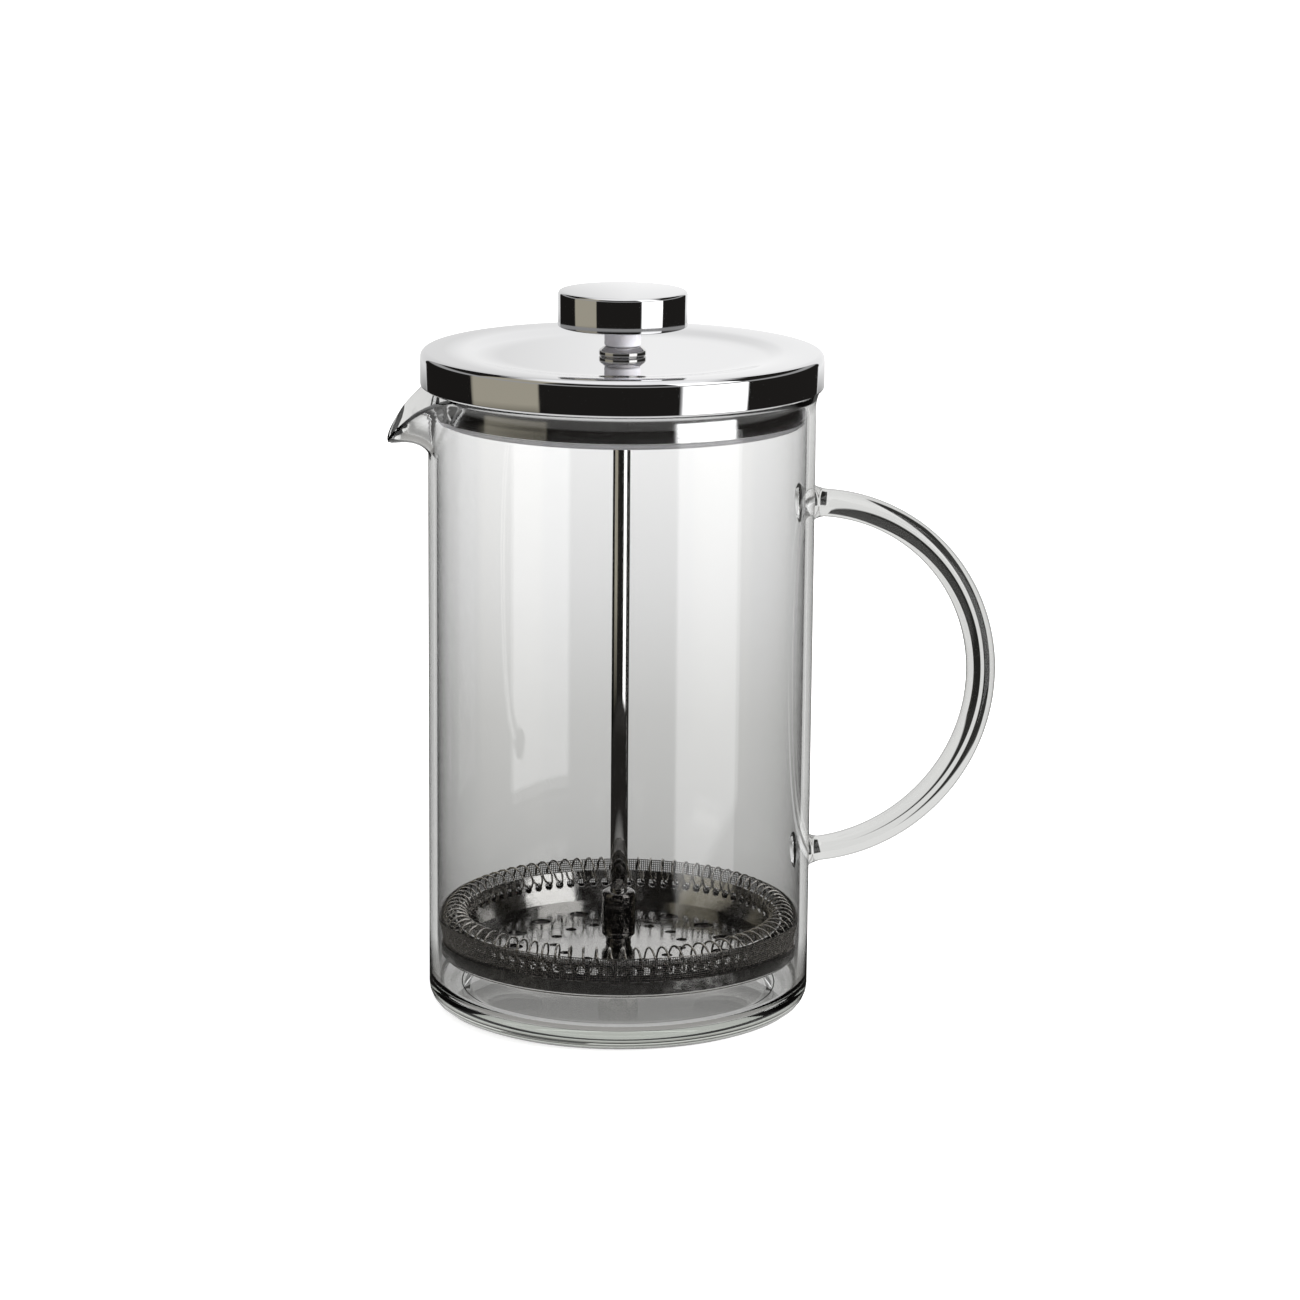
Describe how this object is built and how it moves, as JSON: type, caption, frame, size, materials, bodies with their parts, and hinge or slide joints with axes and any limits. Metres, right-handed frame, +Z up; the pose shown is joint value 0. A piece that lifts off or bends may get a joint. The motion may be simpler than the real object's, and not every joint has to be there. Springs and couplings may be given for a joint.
{
  "type": "french press",
  "caption": "Cylindrical glass coffee press with a pulled spout, a half-circle glass rod handle, a flat steel lid and a round-knob plunger that presses a coil-edged woven filter.",
  "frame": {"origin": "centre of the beaker's foot ring, on the surface it stands on", "axes": "+Z up the beaker's axis, +X towards the handle, -X towards the spout"},
  "size_m": [0.1555, 0.0998, 0.1813],
  "materials": {
    "glass": "clear borosilicate",
    "polished_steel": "mirror-polished stainless steel",
    "plain_steel": "bright drawn stainless steel",
    "woven_steel": "woven stainless wire screen",
    "white_plastic": "moulded polypropylene",
    "brass": "turned"
  },
  "bodies": {
    "beaker": {"beaker": "glass", "handle": "glass"},
    "lid_insert": {"lid_insert": "white_plastic"},
    "lid": {"lid_cover": "polished_steel", "lid_liner": "polished_steel", "ferrule": "polished_steel", "ferrule_washer": "plain_steel", "ferrule_nut": "plain_steel"},
    "guide_bush": {"guide_bush": "white_plastic"},
    "plunger": {"knob_shell": "polished_steel", "knob_core": "white_plastic", "knob_nut": "brass", "plunger_rod": "polished_steel", "hub": "polished_steel", "spring_plate": "polished_steel", "coil_spring": "plain_steel", "filter_mesh": "woven_steel", "mesh_eyelet": "plain_steel", "cross_plate": "polished_steel", "lock_nut": "plain_steel"}
  },
  "joints": [
    {"name": "lid_lift", "type": "slide", "parent": "beaker", "child": "lid_insert", "axis": [0, 0, 1], "range_m": [0, 0.16]},
    {"name": "lid_turn", "type": "hinge", "parent": "lid_insert", "child": "lid", "pos_m": [0, 0, 0.16], "axis": [0, 0, 1], "continuous": true},
    {"name": "plunger_turn", "type": "hinge", "parent": "lid", "child": "guide_bush", "pos_m": [0, 0, 0.16], "axis": [0, 0, 1], "continuous": true},
    {"name": "plunger_stroke", "type": "slide", "parent": "guide_bush", "child": "plunger", "axis": [0, 0, 1], "range_m": [0, 0.1205]}
  ]
}
